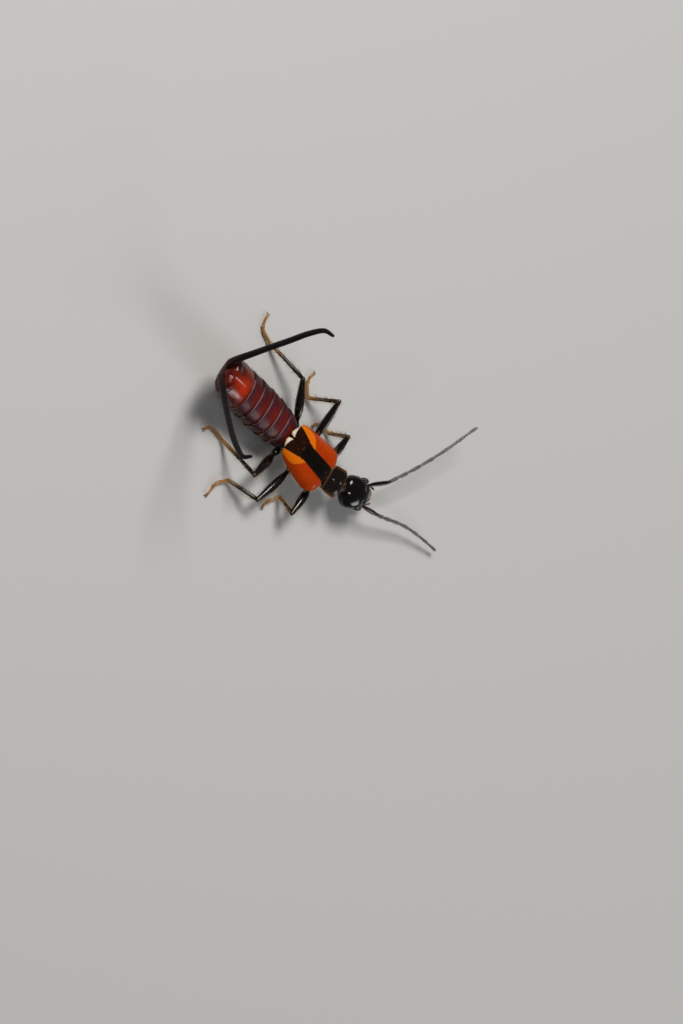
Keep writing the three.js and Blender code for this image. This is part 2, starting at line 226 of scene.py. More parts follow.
def body_ring(spot, along, wide, tall, relief):
    """One ring of skin, square to its direction. relief is how far each point stands out."""
    left = np.cross([0, 0, -1.0], along)
    left /= np.linalg.norm(left)
    up = np.cross(left, along)
    ring = []
    for angle, rise in zip(ANGLES, relief):
        reach = oval(angle, wide, tall, BODY_SQUARENESS) + rise
        ring.append(spot + left * reach * math.cos(angle) + up * reach * math.sin(angle))
    return ring


def ring_relief(angle, number, share, offset):
    """How far the skin of an abdomen ring stands out from the plain oval."""
    side = math.pi - angle if math.pi / 2 < angle < 3 * math.pi / 2 else angle
    side = side - 2 * math.pi if side > math.pi else side
    # A groove runs along each side, and the second and third rings have a fold on each shoulder.
    reach = offset - 0.055 * bump(side, -0.32, 0.1)
    if number in (1, 2):
        reach += 0.07 * bump(side, 0.5, 0.13) * bump(share, 0.72, 0.16)
    # The last ring has a furrow along the top, a knob above each forceps root and full sides.
    if number == LAST_NUMBER:
        reach -= 0.05 * bump(side, math.pi / 2, 0.12) * min(1, share * 2)
        reach += 0.09 * bump(side, 0.85, 0.2) * bump(share, 0.9, 0.08)
        reach += 0.05 * bump(side, 0.1, 0.3) * bump(share, 0.6, 0.4)
    return reach


def ring_marks(angle, number, share):
    """Painted rim highlight, bloom and painted light and shade of an abdomen ring, which is brightest along
    the back.
    """
    # The tone is painted light and shade: lighter where the skin faces up, darker down the sides.
    top = max(0.0, math.sin(angle))
    if number == LAST_NUMBER:
        return 0.0, 0.35 * (1 - top) ** 1.5, top**2.6 * (0.25 + 0.75 * bump(share, 0.4, 0.36))
    # The rim mark is a painted highlight: a pale glint along the top of each ring's rear edge.
    rim = min(1.0, 1.5 * max(0.0, top - 0.25)) if share > 0.97 else 0.0
    bloom = min(1.0, 0.1 + 0.4 * (1 - top) + (0.25 + 0.6 * top) * bump(share, 0.78, 0.17))
    return rim, bloom, top**1.8 * (0.25 + 0.75 * bump(share, 0.3, 0.34))


# Marks of the body skin: rim holds a painted highlight, tone holds painted light and shade, bloom is the
# speckled bloom.
body_rings, ring_finishes = [], []
body_marks = {"rim": [], "bloom": [], "tone": []}


def add_body_ring(ring, finish, rim, bloom, tone):
    body_rings.append(ring)
    ring_finishes.append(finish)
    body_marks["rim"].append(rim)
    body_marks["bloom"].append(bloom)
    body_marks["tone"].append(tone)


for i, (spot, wide, tall) in enumerate(THORAX_RINGS):
    before = THORAX_RINGS[max(i - 1, 0)][0]
    after = THORAX_RINGS[min(i + 1, len(THORAX_RINGS) - 1)][0]
    along = np.array(after) - np.array(before)
    ring = body_ring(np.array(spot), along / np.linalg.norm(along), wide, tall, [0.0] * AROUND)
    add_body_ring(ring, MEMBRANE, [0.0] * AROUND, [0.3] * AROUND, [0.0] * AROUND)

axis = curve_points(ABDOMEN_PATH, 400)
axis_run = run_along(axis)
abdomen_length = axis_run[-1]
for number, start in enumerate(np.r_[0, np.cumsum(RING_LENGTHS)]):
    last = number == LAST_NUMBER
    length = abdomen_length - start if last else RING_LENGTHS[number]
    for share, offset in LAST_RING if last else PLAIN_RING:
        run = start + share * length
        spot = np.array([np.interp(run, axis_run, axis[:, k]) for k in range(3)])
        near = np.array([np.interp([run - 0.05, run + 0.05], axis_run, axis[:, k]) for k in range(3)])
        along = near[:, 1] - near[:, 0]
        along /= np.linalg.norm(along)
        wide = smooth_levels(ABDOMEN_WIDE, run / abdomen_length) * ABDOMEN_HALF_WIDTH - SKIN_INSET
        tall = smooth_levels(ABDOMEN_TALL, run / abdomen_length) * ABDOMEN_HALF_HEIGHT - SKIN_INSET
        relief = [ring_relief(angle, number, share, offset) for angle in ANGLES]
        marks = zip(*(ring_marks(angle, number, share) for angle in ANGLES))
        add_body_ring(body_ring(spot, along, wide, tall, relief), FLAME if last else MAROON, *marks)

# The rear face of the last ring closes in steps behind the roots of the forceps.
rear_face = [spot + (point - spot) * 0.9 + along * 0.02 for point in body_rings[-1]]
rear_rings = [rear_face]
for shrink, inset in ((0.72, 0.06), (0.45, 0.08), (0.2, 0.09)):
    rear_rings.append([spot + (point - spot) * shrink / 0.9 + along * inset for point in rear_face])
for ring in rear_rings:
    add_body_ring(ring, FLAME, [0.0] * AROUND, [0.2] * AROUND, [0.12] * AROUND)


def new_links(material):
    material.use_nodes = True
    return material.node_tree.nodes, material.node_tree.links


def read_mark(nodes, name):
    """The socket that gives a mark's value."""
    mark = nodes.new("ShaderNodeAttribute")
    mark.attribute_name = name
    return mark.outputs["Fac"]


def horn_surface():
    """Shared effect: mottled colour with fine punctures, as on insect horn."""
    group = bpy.data.node_groups.new("horn surface", "ShaderNodeTree")
    results = (("Colour", "NodeSocketColor"), ("Roughness", "NodeSocketFloat"), ("Height", "NodeSocketFloat"))
    for name in ("Light", "Dark", "Bloom"):
        group.interface.new_socket(name=name, in_out="INPUT", socket_type="NodeSocketColor")
    for name in ("Tone", "Bloom amount", "Patch scale", "Pit scale", "Gloss"):
        group.interface.new_socket(name=name, in_out="INPUT", socket_type="NodeSocketFloat")
    for name, kind in results:
        group.interface.new_socket(name=name, in_out="OUTPUT", socket_type=kind)
    nodes, links = group.nodes, group.links
    inside, outside = nodes.new("NodeGroupInput"), nodes.new("NodeGroupOutput")
    where = nodes.new("ShaderNodeTexCoord").outputs["Object"]

    def texture(kind, scale_socket, factor=1.0):
        node = nodes.new(kind)
        scaled = nodes.new("ShaderNodeMath")
        scaled.operation = "MULTIPLY"
        scaled.inputs[1].default_value = factor
        links.new(inside.outputs[scale_socket], scaled.inputs[0])
        links.new(scaled.outputs[0], node.inputs["Scale"])
        links.new(where, node.inputs["Vector"])
        return node

    def calculate(operation, first, second, clamp=False):
        node = nodes.new("ShaderNodeMath")
        node.operation = operation
        node.use_clamp = clamp
        for socket, value in zip(node.inputs, (first, second)):
            if isinstance(value, (int, float)):
                socket.default_value = value
            else:
                links.new(value, socket)
        return node.outputs[0]

    def mix(amount, first, second):
        node = nodes.new("ShaderNodeMix")
        node.data_type = "RGBA"
        links.new(amount, node.inputs["Factor"])
        links.new(first, node.inputs["A"])
        links.new(second, node.inputs["B"])
        return node.outputs["Result"]

    patches = texture("ShaderNodeTexNoise", "Patch scale")
    patches.inputs["Detail"].default_value = 4
    grain = texture("ShaderNodeTexNoise", "Pit scale", 1.6)
    grain.inputs["Detail"].default_value = 3
    pits = texture("ShaderNodeTexVoronoi", "Pit scale")
    drift = calculate("MULTIPLY", calculate("SUBTRACT", patches.outputs["Fac"], 0.5), 0.9)
    tone = calculate("ADD", inside.outputs["Tone"], drift, True)
    mottled = mix(tone, inside.outputs["Dark"], inside.outputs["Light"])
    specks = calculate("MULTIPLY", calculate("SUBTRACT", grain.outputs["Fac"], 0.46, True), 5.0, True)
    bloomed = calculate("MULTIPLY", specks, inside.outputs["Bloom amount"], True)
    links.new(mix(bloomed, mottled, inside.outputs["Bloom"]), outside.inputs["Colour"])
    rough = calculate("ADD", inside.outputs["Gloss"], calculate("MULTIPLY", bloomed, 0.35))
    uneven = calculate("MULTIPLY", calculate("SUBTRACT", grain.outputs["Fac"], 0.5), 0.18)
    links.new(calculate("ADD", rough, uneven, True), outside.inputs["Roughness"])
    deep = calculate("MULTIPLY", calculate("MULTIPLY", pits.outputs["Distance"], 1.6, True), 0.6)
    fine = calculate("MULTIPLY", grain.outputs["Fac"], 0.4)
    links.new(calculate("ADD", deep, fine), outside.inputs["Height"])
    return group


horn = horn_surface()


def horn_finish(
    name, light, dark, bloom, bloom_amount, tone, gloss, coat, shine=0.3, patch=1500, pit=14000, depth=6e-6
):
    """A horn material. Its tone and its bloom amount are numbers or the names of marks on the mesh."""
    material = bpy.data.materials.new(name)
    nodes, links = new_links(material)
    shader = nodes["Principled BSDF"]
    surface = nodes.new("ShaderNodeGroup")
    surface.node_tree = horn
    for socket, value in (("Light", light), ("Dark", dark), ("Bloom", bloom)):
        surface.inputs[socket].default_value = (*value, 1)
    surface.inputs["Patch scale"].default_value = patch
    surface.inputs["Pit scale"].default_value = pit
    surface.inputs["Gloss"].default_value = gloss
    for socket, value in (("Tone", tone), ("Bloom amount", bloom_amount)):
        if isinstance(value, str):
            links.new(read_mark(nodes, value), surface.inputs[socket])
        else:
            surface.inputs[socket].default_value = value
    links.new(surface.outputs["Colour"], shader.inputs["Base Color"])
    links.new(surface.outputs["Roughness"], shader.inputs["Roughness"])
    raised = nodes.new("ShaderNodeBump")
    raised.inputs["Distance"].default_value = depth
    raised.inputs["Strength"].default_value = 1
    links.new(surface.outputs["Height"], raised.inputs["Height"])
    links.new(raised.outputs["Normal"], shader.inputs["Normal"])
    shader.inputs["Specular IOR Level"].default_value = shine
    shader.inputs["Coat Weight"].default_value = coat
    shader.inputs["Coat Roughness"].default_value = 0.12
    return material


def lay_over(material, mark_name, colour, low, high):
    """Lays a second colour over a material where a mark rises from low to high."""
    nodes, links = new_links(material)
    shader = nodes["Principled BSDF"]
    step = nodes.new("ShaderNodeMapRange")
    step.inputs["From Min"].default_value = low
    step.inputs["From Max"].default_value = high
    links.new(read_mark(nodes, mark_name), step.inputs["Value"])
    over = nodes.new("ShaderNodeMix")
    over.data_type = "RGBA"
    links.new(step.outputs["Result"], over.inputs["Factor"])
    links.new(shader.inputs["Base Color"].links[0].from_socket, over.inputs["A"])
    over.inputs["B"].default_value = (*colour, 1)
    links.new(over.outputs["Result"], shader.inputs["Base Color"])


membrane_finish = horn_finish(
    "brown_membrane", light=(0.05, 0.021, 0.012), dark=(0.013, 0.007, 0.005), bloom=(0.1, 0.06, 0.04),
    bloom_amount=0.3, tone=0.35, gloss=0.42, coat=0.1,
)
# On the maroon and flame-red rings the tone mark is painted light and shade, lighter along the back and
# darker down the sides.
maroon_finish = horn_finish(
    "maroon_rings", light=(0.22, 0.012, 0.004), dark=(0.022, 0.003, 0.004), bloom=(0.1, 0.05, 0.09),
    bloom_amount="bloom", tone="tone", gloss=0.34, coat=0.06, shine=0.13, pit=9000,
)
# Painted highlight: the rim mark lays a pale violet glint along the top of each ring's rear edge.
lay_over(maroon_finish, "rim", (0.34, 0.2, 0.24), 0.3, 1.0)
flame_finish = horn_finish(
    "flame_red_last_ring", light=(0.68, 0.04, 0.002), dark=(0.03, 0.003, 0.002), bloom=(0.12, 0.02, 0.01),
    bloom_amount="bloom", tone="tone", gloss=0.14, coat=0.28, shine=0.2,
)
body_shell = loft(body_rings, body_marks)
side_slots = [finish for finish in ring_finishes[1:] for j in range(AROUND)]
body_shell["slots"] = side_slots + [MEMBRANE, FLAME] * AROUND
make_piece(
    "body_skin", [body_shell], [membrane_finish, maroon_finish, flame_finish],
    ["thorax", "abdomen_front", "abdomen_middle", "abdomen_rear"],
)

# Neck shield (pronotum): a small squarish plate of black horn with rounded corners, a furrow along
# the middle and thin see-through brown side margins. It lies on the first thorax ring.
SHIELD_MIDDLE = (2.6, 0.24, 2.2)
SHIELD_YAW = 0.21
SHIELD_HALF_LENGTH = 0.66
SHIELD_FRONT_HALF_WIDTH = 0.95
SHIELD_REAR_HALF_WIDTH = 0.88
SHIELD_SQUARENESS = 4.6
SHIELD_AROUND = 88
# A plate's rings: the share of the outline, and how far down the plate's thickness.
PLATE_EDGE = [
    (0.04, 0), (0.2, 0), (0.35, 0), (0.5, 0), (0.64, 0), (0.76, 0), (0.86, 0), (0.93, 0), (0.97, -0.08),
    (0.99, -0.25), (1.0, -0.5), (0.99, -0.78), (0.97, -0.93), (0.92, -1), (0.75, -1), (0.5, -1), (0.2, -1),
    (0.04, -1),
]


def turned(x, y, z, yaw, middle):
    """A spot forward, left and up of a middle, after a turn about the upright direction."""
    return [
        middle[0] + x * math.cos(yaw) - y * math.sin(yaw),
        middle[1] + x * math.sin(yaw) + y * math.cos(yaw),
        middle[2] + z,
    ]


def plate(outline, middle, height, thick, marks=None):
    """A thin closed plate: flat outline, a height for each point, and a rounded edge."""
    u, v = middle
    rings, marked = [], {name: [] for name in (marks or {})}
    for share, drop in PLATE_EDGE:
        spots = [(u + (x - u) * share, v + (y - v) * share) for x, y in outline]
        rings.append([[x, y, height(x, y) + drop * thick] for x, y in spots])
        for name in marked:
            marked[name].append([marks[name](x, y) for x, y in spots])
    return loft(rings, marked)


def shield_height(x, y):
    """Domed, with two low swellings, a furrow between them, a dent across and raised side margins."""
    dome = 0.1 * (1 - (y / 0.95) ** 2) - 0.03 * (x / 0.66) ** 2
    dome += 0.07 * bump(x, 0.26, 0.26) * (bump(y, 0.34, 0.26) + bump(y, -0.34, 0.26))
    dome -= 0.05 * bump(y, 0, 0.05) * bump(x, 0.1, 0.4) + 0.04 * bump(x, -0.12, 0.1) * bump(y, 0, 0.55)
    dome += 0.04 * bump(abs(y), 0.92, 0.05)
    return dome


def shield_margin(x, y):
    """Nearness to the shield's edge, which is 1 near the side margins."""
    return max(abs(y) / 0.93, 0.93 * abs(x) / 0.66)


shield_outline = []
for j in range(SHIELD_AROUND):
    angle = 2 * math.pi * j / SHIELD_AROUND
    reach = oval(angle, 1, 1, SHIELD_SQUARENESS)
    forward = (math.cos(angle) * reach + 1) / 2
    across = SHIELD_REAR_HALF_WIDTH + (SHIELD_FRONT_HALF_WIDTH - SHIELD_REAR_HALF_WIDTH) * forward
    shield_outline.append((reach * math.cos(angle) * SHIELD_HALF_LENGTH, reach * math.sin(angle) * across))
shield = plate(shield_outline, (0, 0), shield_height, 0.1, {"margin": shield_margin})
shield["points"] = np.array([turned(*point, SHIELD_YAW, SHIELD_MIDDLE) for point in shield["points"]])
shield_finish = horn_finish(
    "shield_horn", light=(0.016, 0.007, 0.004), dark=(0.003, 0.002, 0.002), bloom=(0.035, 0.02, 0.012),
    bloom_amount=0.2, tone=0.4, gloss=0.22, coat=0.3, shine=0.25,
)
lay_over(shield_finish, "margin", (0.2, 0.07, 0.016), 0.78, 0.98)
make_piece("neck_shield", [shield], [shield_finish], ["pronotum"])

# Head: a hard glossy black capsule, flattened and heart shaped, broadest behind the eyes. It hangs
# on the neck membrane and turns to the animal's left.
HEAD_MIDDLE = (4.68, 0.93, 1.7)
HEAD_YAW = 0.5
HEAD_BACK, HEAD_FRONT = -1.1, 1.08
HEAD_HALF_WIDTH, HEAD_HALF_HEIGHT = 1.02, 0.58
HEAD_WIDE = [0.5, 0.76, 0.91, 0.97, 1, 1, 1, 0.985, 0.95, 0.9, 0.83, 0.76, 0.67, 0.55, 0.4]
HEAD_TALL = [0.5, 0.72, 0.86, 0.94, 0.98, 1, 1, 0.99, 0.96, 0.91, 0.84, 0.75, 0.64, 0.5, 0.34]
HEAD_SQUARENESS = 2.25
HEAD_ROWS, HEAD_AROUND = 56, 80


def in_head(forward, left, up):
    """A spot given from the middle of the turned head."""
    return np.array(turned(forward, left, up, HEAD_YAW, HEAD_MIDDLE))


def rounded_end(distance, length):
    """How wide a rounded end has opened at a distance from its tip."""
    return math.sqrt(max(0.0, 1 - (1 - distance / length) ** 2)) if distance < length else 1.0


head_rings = []
for share in (1 - np.cos(np.linspace(0, math.pi, HEAD_ROWS))) / 2:
    forward = HEAD_BACK + (HEAD_FRONT - HEAD_BACK) * share
    opening = max(0.04, min(rounded_end(share, 0.05), rounded_end(1 - share, 0.1)))
    wide = HEAD_HALF_WIDTH * smooth_levels(HEAD_WIDE, share) * opening
    tall = HEAD_HALF_HEIGHT * smooth_levels(HEAD_TALL, share) * opening
    ring = []
    for j in range(HEAD_AROUND):
        angle = 2 * math.pi * j / HEAD_AROUND
        reach = oval(angle, wide, tall, HEAD_SQUARENESS)
        side, rise = reach * math.cos(angle), reach * math.sin(angle)
        pull = 0.0
        # On top: a furrow behind, two dents before the eyes, a low brow and a notch at the nape.
        if rise > 0:
            rise -= 0.05 * bump(side, 0, 0.09) * bump(forward, -0.75, 0.35) * opening
            rise -= 0.045 * bump(abs(side), 0.42, 0.16) * bump(forward, 0.52, 0.2) * opening
            rise += 0.03 * bump(side, 0, 0.3) * bump(forward, 0.15, 0.35) * opening
            pull = 0.1 * bump(side, 0, 0.22) * bump(share, 0.0, 0.12)
        side *= 1 - 0.1 * bump(forward, 0.34, 0.24) * bump(rise, 0.12, 0.24)
        ring.append(in_head(forward + pull, side, rise - 0.08 * share * share))
    head_rings.append(ring)
black_finish = horn_finish(
    "black_horn", light=(0.008, 0.005, 0.004), dark=(0.002, 0.0015, 0.0015), bloom=(0.02, 0.013, 0.012),
    bloom_amount=0.1, tone=0.35, gloss=0.13, coat=0.35, shine=0.25, depth=3e-6,
)
head_shell = loft(head_rings)
make_piece("head_capsule", [head_shell], [black_finish], ["head"])

# Eyes: one on each side of the head, black, domed and covered with hundreds of tiny lenses. Each is
# set into a shallow hollow of the head.
EYE_SPOT = {"forward": 0.34, "out": 0.83, "up": 0.1}
EYE_HALF_SIZES = (0.3, 0.2, 0.26)
LENS_VALLEY = 0.985


def lens_shell(middle, half, yaw):
    """A ball of raised six-sided lenses."""
    ball = bmesh.new()
    bmesh.ops.create_icosphere(ball, subdivisions=5, radius=1)
    ball.faces.ensure_lookup_table()
    crests = [v.co.copy() for v in ball.verts]
    valleys = [f.calc_center_median().normalized() * LENS_VALLEY for f in ball.faces]
    points = [turned(p.x * half[0], p.y * half[1], p.z * half[2], yaw, middle) for p in crests + valleys]
    faces = []
    for edge in ball.edges:
        a, b = (v.index for v in edge.verts)
        f, g = (len(crests) + face.index for face in edge.link_faces)
        faces += [(a, f, g), (b, g, f)]
    ball.free()
    return {"points": np.array(points), "faces": faces, "marks": {}, "slots": [0] * len(faces)}


eye_finish = horn_finish(
    "eye_lenses", light=(0.03, 0.024, 0.024), dark=(0.006, 0.006, 0.007), bloom=(0.05, 0.05, 0.06),
    bloom_amount=0.1, tone=0.3, gloss=0.1, coat=0.9, depth=1e-6,
)
for name, side in (("left", 1), ("right", -1)):
    eye_middle = in_head(EYE_SPOT["forward"], EYE_SPOT["out"] * side, EYE_SPOT["up"])
    lenses = lens_shell(eye_middle, EYE_HALF_SIZES, HEAD_YAW)
    make_piece(f"eye_{name}_lenses", [lenses], [eye_finish], [f"eye_{name}"], smooth=False)

# Mouthparts: the upper lip, two blunt jaws and two pairs of thin jointed palps, brown horn. They hang
# below the front of the head.
LIP = [(0.86, 0, -0.06), (1.16, 0, -0.2), (1.34, 0, -0.34)]
JAW = [(0.8, 0.34, -0.3), (1.2, 0.36, -0.36), (1.46, 0.2, -0.4), (1.54, 0.04, -0.42)]
LONG_PALP = [(0.95, 0.38, -0.42), (1.12, 0.52, -0.5), (1.36, 0.56, -0.46), (1.6, 0.44, -0.4)]
SHORT_PALP = [(1.05, 0.14, -0.48), (1.3, 0.18, -0.56), (1.5, 0.12, -0.5)]


def path_frames(spots):
    """Directions along and across a path, carried along without twisting."""
    along = np.gradient(np.asarray(spots, float), axis=0)
    along /= np.linalg.norm(along, axis=1)[:, None]
    side = np.cross(along[0], [0, 0, 1.0])
    if np.linalg.norm(side) < 0.05:
        side = np.cross(along[0], [0, 1.0, 0])
    sides = []
    for direction in along:
        side = side - direction * (side @ direction)
        side /= np.linalg.norm(side)
        sides.append(side)
    sides = np.array(sides)
    return along, sides, np.cross(along, sides)


def rod(points, radii, rows, around, flat=1.0, marks=None):
    """A rod with round tips along a curve. radii is a list of levels, and flat squeezes it across."""
    spots = curve_points(points, rows)
    along, sides, ups = path_frames(spots)
    shares = np.linspace(0, 1, rows)
    sizes = np.interp(shares, np.linspace(0, 1, len(radii)), radii)
    turns = 2 * np.pi * np.arange(around) / around
    rings, ring_shares = [], []

    def add_ring(row, onward, scale):
        spot = spots[row] + along[row] * sizes[row] * onward
        size = sizes[row] * scale
        across = np.outer(np.cos(turns), sides[row]) * size
        rings.append(spot + across + np.outer(np.sin(turns), ups[row]) * size * flat)
        ring_shares.append(shares[row])

    tips = [(scale, math.sqrt(1 - scale * scale)) for scale in (0.35, 0.75)]
    for scale, onward in tips:
        add_ring(0, -onward, scale)
    for row in range(rows):
        add_ring(row, 0, 1)
    for scale, onward in reversed(tips):
        add_ring(-1, onward, scale)
    return loft(rings, {name: [value(k) for k in ring_shares] for name, value in (marks or {}).items()})


def mirrored_in_head(path, side):
    return [in_head(forward, out * side, up) for forward, out, up in path]


def jointed(path, joints, radii, around):
    """Rods of one length, end to end along a curve."""
    spots = curve_points(path, joints * 10 + 1)
    return [rod(spots[k * 10 : k * 10 + 11 : 5], radii, 8, around) for k in range(joints)]


mouth_shells = [rod(mirrored_in_head(LIP, 1), [0.34, 0.3, 0.2], 12, 28, 0.4)]
for side in (1, -1):
    mouth_shells.append(rod(mirrored_in_head(JAW, side), [0.18, 0.15, 0.1, 0.03], 16, 16, 0.7))
    mouth_shells += jointed(mirrored_in_head(LONG_PALP, side), 4, [0.045, 0.065, 0.06], 12)
    mouth_shells += jointed(mirrored_in_head(SHORT_PALP, side), 2, [0.035, 0.05, 0.045], 10)
mouth_finish = horn_finish(
    "mouth_horn", light=(0.36, 0.17, 0.07), dark=(0.09, 0.035, 0.018), bloom=(0.3, 0.2, 0.12),
    bloom_amount=0.15, tone=0.45, gloss=0.3, coat=0.4,
)
make_piece("mouth_pieces", mouth_shells, [mouth_finish], ["mouthparts"])

# Wing cases (elytra): two short thin plates of see-through orange-red horn that meet along the back
# under a broad black band. The sides turn down over the thorax.
CASE_FRONT, CASE_BACK = 1.74, -2.0
CASE_SHOULDER, CASE_REAR = 1.6, 1.2
CASE_TOP, CASE_SLOPE, CASE_DROOP = 2.5, 0.03, 0.42
CASE_MIDDLE = (-0.05, 0.72)
CASE_THICKNESS = 0.06
CASE_SEAM = 0.004
CASE_CORNERS = [
    (1.62, 0.004), (1.74, 0.25), (1.76, 0.8), (1.7, 1.2), (1.45, 1.48), (1.05, 1.58), (0.2, 1.5),
    (-0.8, 1.36), (-1.5, 1.22), (-1.84, 1.06), (-2.02, 0.8), (-2.02, 0.45), (-1.92, 0.14), (-1.8, 0.004),
]


def case_span(x):
    """Distance from the seam to the side of a wing case."""
    return CASE_REAR + (CASE_SHOULDER - CASE_REAR) * (x - CASE_BACK) / (CASE_FRONT - CASE_BACK)


def case_height(x, y):
    fall = CASE_DROOP * min(1.1, abs(y) / case_span(x)) ** 5
    front_dip = 0.16 * bump(x, CASE_FRONT, 0.22)
    rear_dip = 0.05 * bump(x, CASE_BACK, 0.25)
    return CASE_TOP + CASE_SLOPE * x - fall - front_dip - rear_dip


def spread_along(corners, gap):
    """Points about a gap apart along the straight sides of a closed outline."""
    spots = []
    for a, b in zip(corners, corners[1:] + corners[:1]):
        count = max(2, int(math.dist(a, b) / gap))
        spots += [(a[0] + (b[0] - a[0]) * k / count, a[1] + (b[1] - a[1]) * k / count) for k in range(count)]
    return spots


def case_outline():
    """The outline of the left wing case with its corners rounded and its seam kept straight."""
    rim = np.array(spread_along(CASE_CORNERS, 0.09))
    for _ in range(2):
        soft = (np.roll(rim, 1, 0) + 2 * rim + np.roll(rim, -1, 0)) / 4
        soft[rim[:, 1] < 0.02, 1] = CASE_SEAM
        rim = soft
    return rim


def case_marks(x, y):
    """Black seam band, smoky rear corner, bright patch with a sharp edge, and golden flecks."""
    share = (CASE_FRONT - x) / (CASE_FRONT - CASE_BACK)
    across = y / case_span(x)
    band = 1 - np.clip((across - 0.24 - 0.05 * share) / 0.16, 0, 1)
    band *= 1 - 0.75 * np.clip((share - 0.62) / 0.12, 0, 1)
    smoke_edge = 0.3 + 0.42 * np.clip((share - 0.55) / 0.45, 0, 1)
    smoke = np.clip((smoke_edge - across) / 0.1 + 0.5, 0, 1) * np.clip((share - 0.5) / 0.1, 0, 1)
    bright = np.clip(0.5 + (share - 0.56 - 0.3 * (across - 0.5)) * 6, 0, 1)
    bright *= np.clip(0.5 + (0.9 - across) * 5, 0, 1)
    fleck_across = bump(share, 0.665, 0.026) * np.clip((0.3 - across) / 0.12, 0, 1)
    fleck_along = 0.8 * bump(across, 0.03, 0.035) * bump(share, 0.7, 0.035)
    fleck_aside = 0.5 * bump(across, 0.22, 0.05) * bump(share, 0.8, 0.05)
    return band, smoke, bright, max(fleck_across, fleck_along, fleck_aside)


orange_finish = horn_finish(
    "orange_case", light=(0.76, 0.085, 0.001), dark=(0.36, 0.02, 0.001), bloom=(0.2, 0.02, 0.004),
    bloom_amount=0.25, tone=0.5, gloss=0.3, coat=0.12, shine=0.09, patch=1300, pit=11000,
)
lay_over(orange_finish, "bright", (0.95, 0.2, 0.003), 0.42, 0.58)
lay_over(orange_finish, "smoke", (0.022, 0.006, 0.002), 0.3, 0.62)
lay_over(orange_finish, "fleck", (0.42, 0.17, 0.03), 0.25, 1.1)
lay_over(orange_finish, "band", (0.006, 0.004, 0.003), 0.35, 0.6)
case_rim = case_outline()
mark_names = ("band", "smoke", "bright", "fleck")
mark_readers = {mark: lambda x, y, k=k: case_marks(x, y)[k] for k, mark in enumerate(mark_names)}
for name, side in (("left", 1), ("right", -1)):
    case = plate(case_rim, CASE_MIDDLE, case_height, CASE_THICKNESS, mark_readers)
    case["points"][:, 1] *= side
    make_piece(f"wing_case_{name}", [case], [orange_finish], [f"elytron_{name}"])

# Folded wings: each hind wing is packed into a thick pad under its case, and only its cream leathery
# tip shows behind the case.
WING_CORNERS = [
    (1.3, 0.2), (1.3, 0.95), (0.4, 1.1), (-0.9, 1.0), (-1.7, 0.84), (-1.9, 0.82), (-2.04, 0.62),
    (-2.13, 0.3), (-2.09, 0.12), (-1.9, 0.05), (-1.7, 0.14), (0.0, 0.2),
]
WING_MIDDLE = (-0.4, 0.5)
WING_THICKNESS = 0.12


def wing_height(x, y):
    return 2.4 + 0.03 * x - 0.16 * (y / 1.1) ** 4 - 0.55 * max(0, -1.9 - x)


wing_finish = horn_finish(
    "cream_wing", light=(0.95, 0.84, 0.6), dark=(0.6, 0.42, 0.24), bloom=(0.98, 0.93, 0.8),
    bloom_amount=0.3, tone=0.75, gloss=0.42, coat=0.15, patch=2500,
)
for name, side in (("left", 1), ("right", -1)):
    pad = plate(spread_along(WING_CORNERS, 0.12), WING_MIDDLE, wing_height, WING_THICKNESS)
    pad["points"][:, 1] *= side
    make_piece(f"folded_wing_{name}", [pad], [wing_finish], [f"wing_tip_{name}"])

# Forceps: two long slender pincers of dark horn on the last ring, held up and spread, each with a
# thick root, a few small teeth inside the root, and a tip that curls inwards.
FORCEPS_PATH = {
    "left": [
        (-9.2, -0.4, 2.75), (-9.6, -0.23, 3.2), (-9.69, 1.01, 4.86), (-9.75, 2.26, 6.65), (-9.79, 3.1, 7.83),
        (-9.71, 3.6, 8.75), (-9.46, 3.58, 9.34),
    ],
    "right": [
        (-9.1, -1.1, 2.65), (-9.42, -1.25, 3.1), (-9.13, -2.74, 4.74), (-8.82, -4.31, 6.72),
        (-8.64, -4.94, 7.68), (-8.48, -5.3, 8.48), (-8.42, -5.1, 9.0),
    ],
}
FORCEPS_SIZES = [0.26, 0.25, 0.23, 0.215, 0.205, 0.2, 0.2, 0.198, 0.195, 0.19, 0.18, 0.16, 0.1]
FORCEPS_STEPS = 90
# Each tooth is its step along the pincer and its size.
TEETH = ((12, 0.07), (15, 0.055), (18, 0.045), (21, 0.035))
RED_ROOT_SHARE = 0.22
pincer_finish = horn_finish(
    "pincer_horn", light=(0.045, 0.008, 0.004), dark=(0.0045, 0.003, 0.003), bloom=(0.016, 0.011, 0.012),
    bloom_amount=0.2, tone="root", gloss=0.42, coat=0.04, shine=0.16,
)
for name, side in (("left", 1), ("right", -1)):
    root_mark = {"root": lambda k: max(0.0, 1 - k / RED_ROOT_SHARE)}
    shells = [rod(FORCEPS_PATH[name], FORCEPS_SIZES, FORCEPS_STEPS, 28, 0.95, root_mark)]
    spots = curve_points(FORCEPS_PATH[name], FORCEPS_STEPS + 1)
    for k, size in TEETH:
        inward = np.cross(spots[k + 3] - spots[k - 3], [1, 0, 0]) * side
        inward /= np.linalg.norm(inward)
        tooth = [spots[k] + inward * reach for reach in (0.12, 0.2, 0.2 + size)]
        shells.append(rod(tooth, [size, size * 0.8, size * 0.2], 8, 10))
    make_piece(f"pincer_{name}", shells, [pincer_finish], [f"forceps_{name}"])

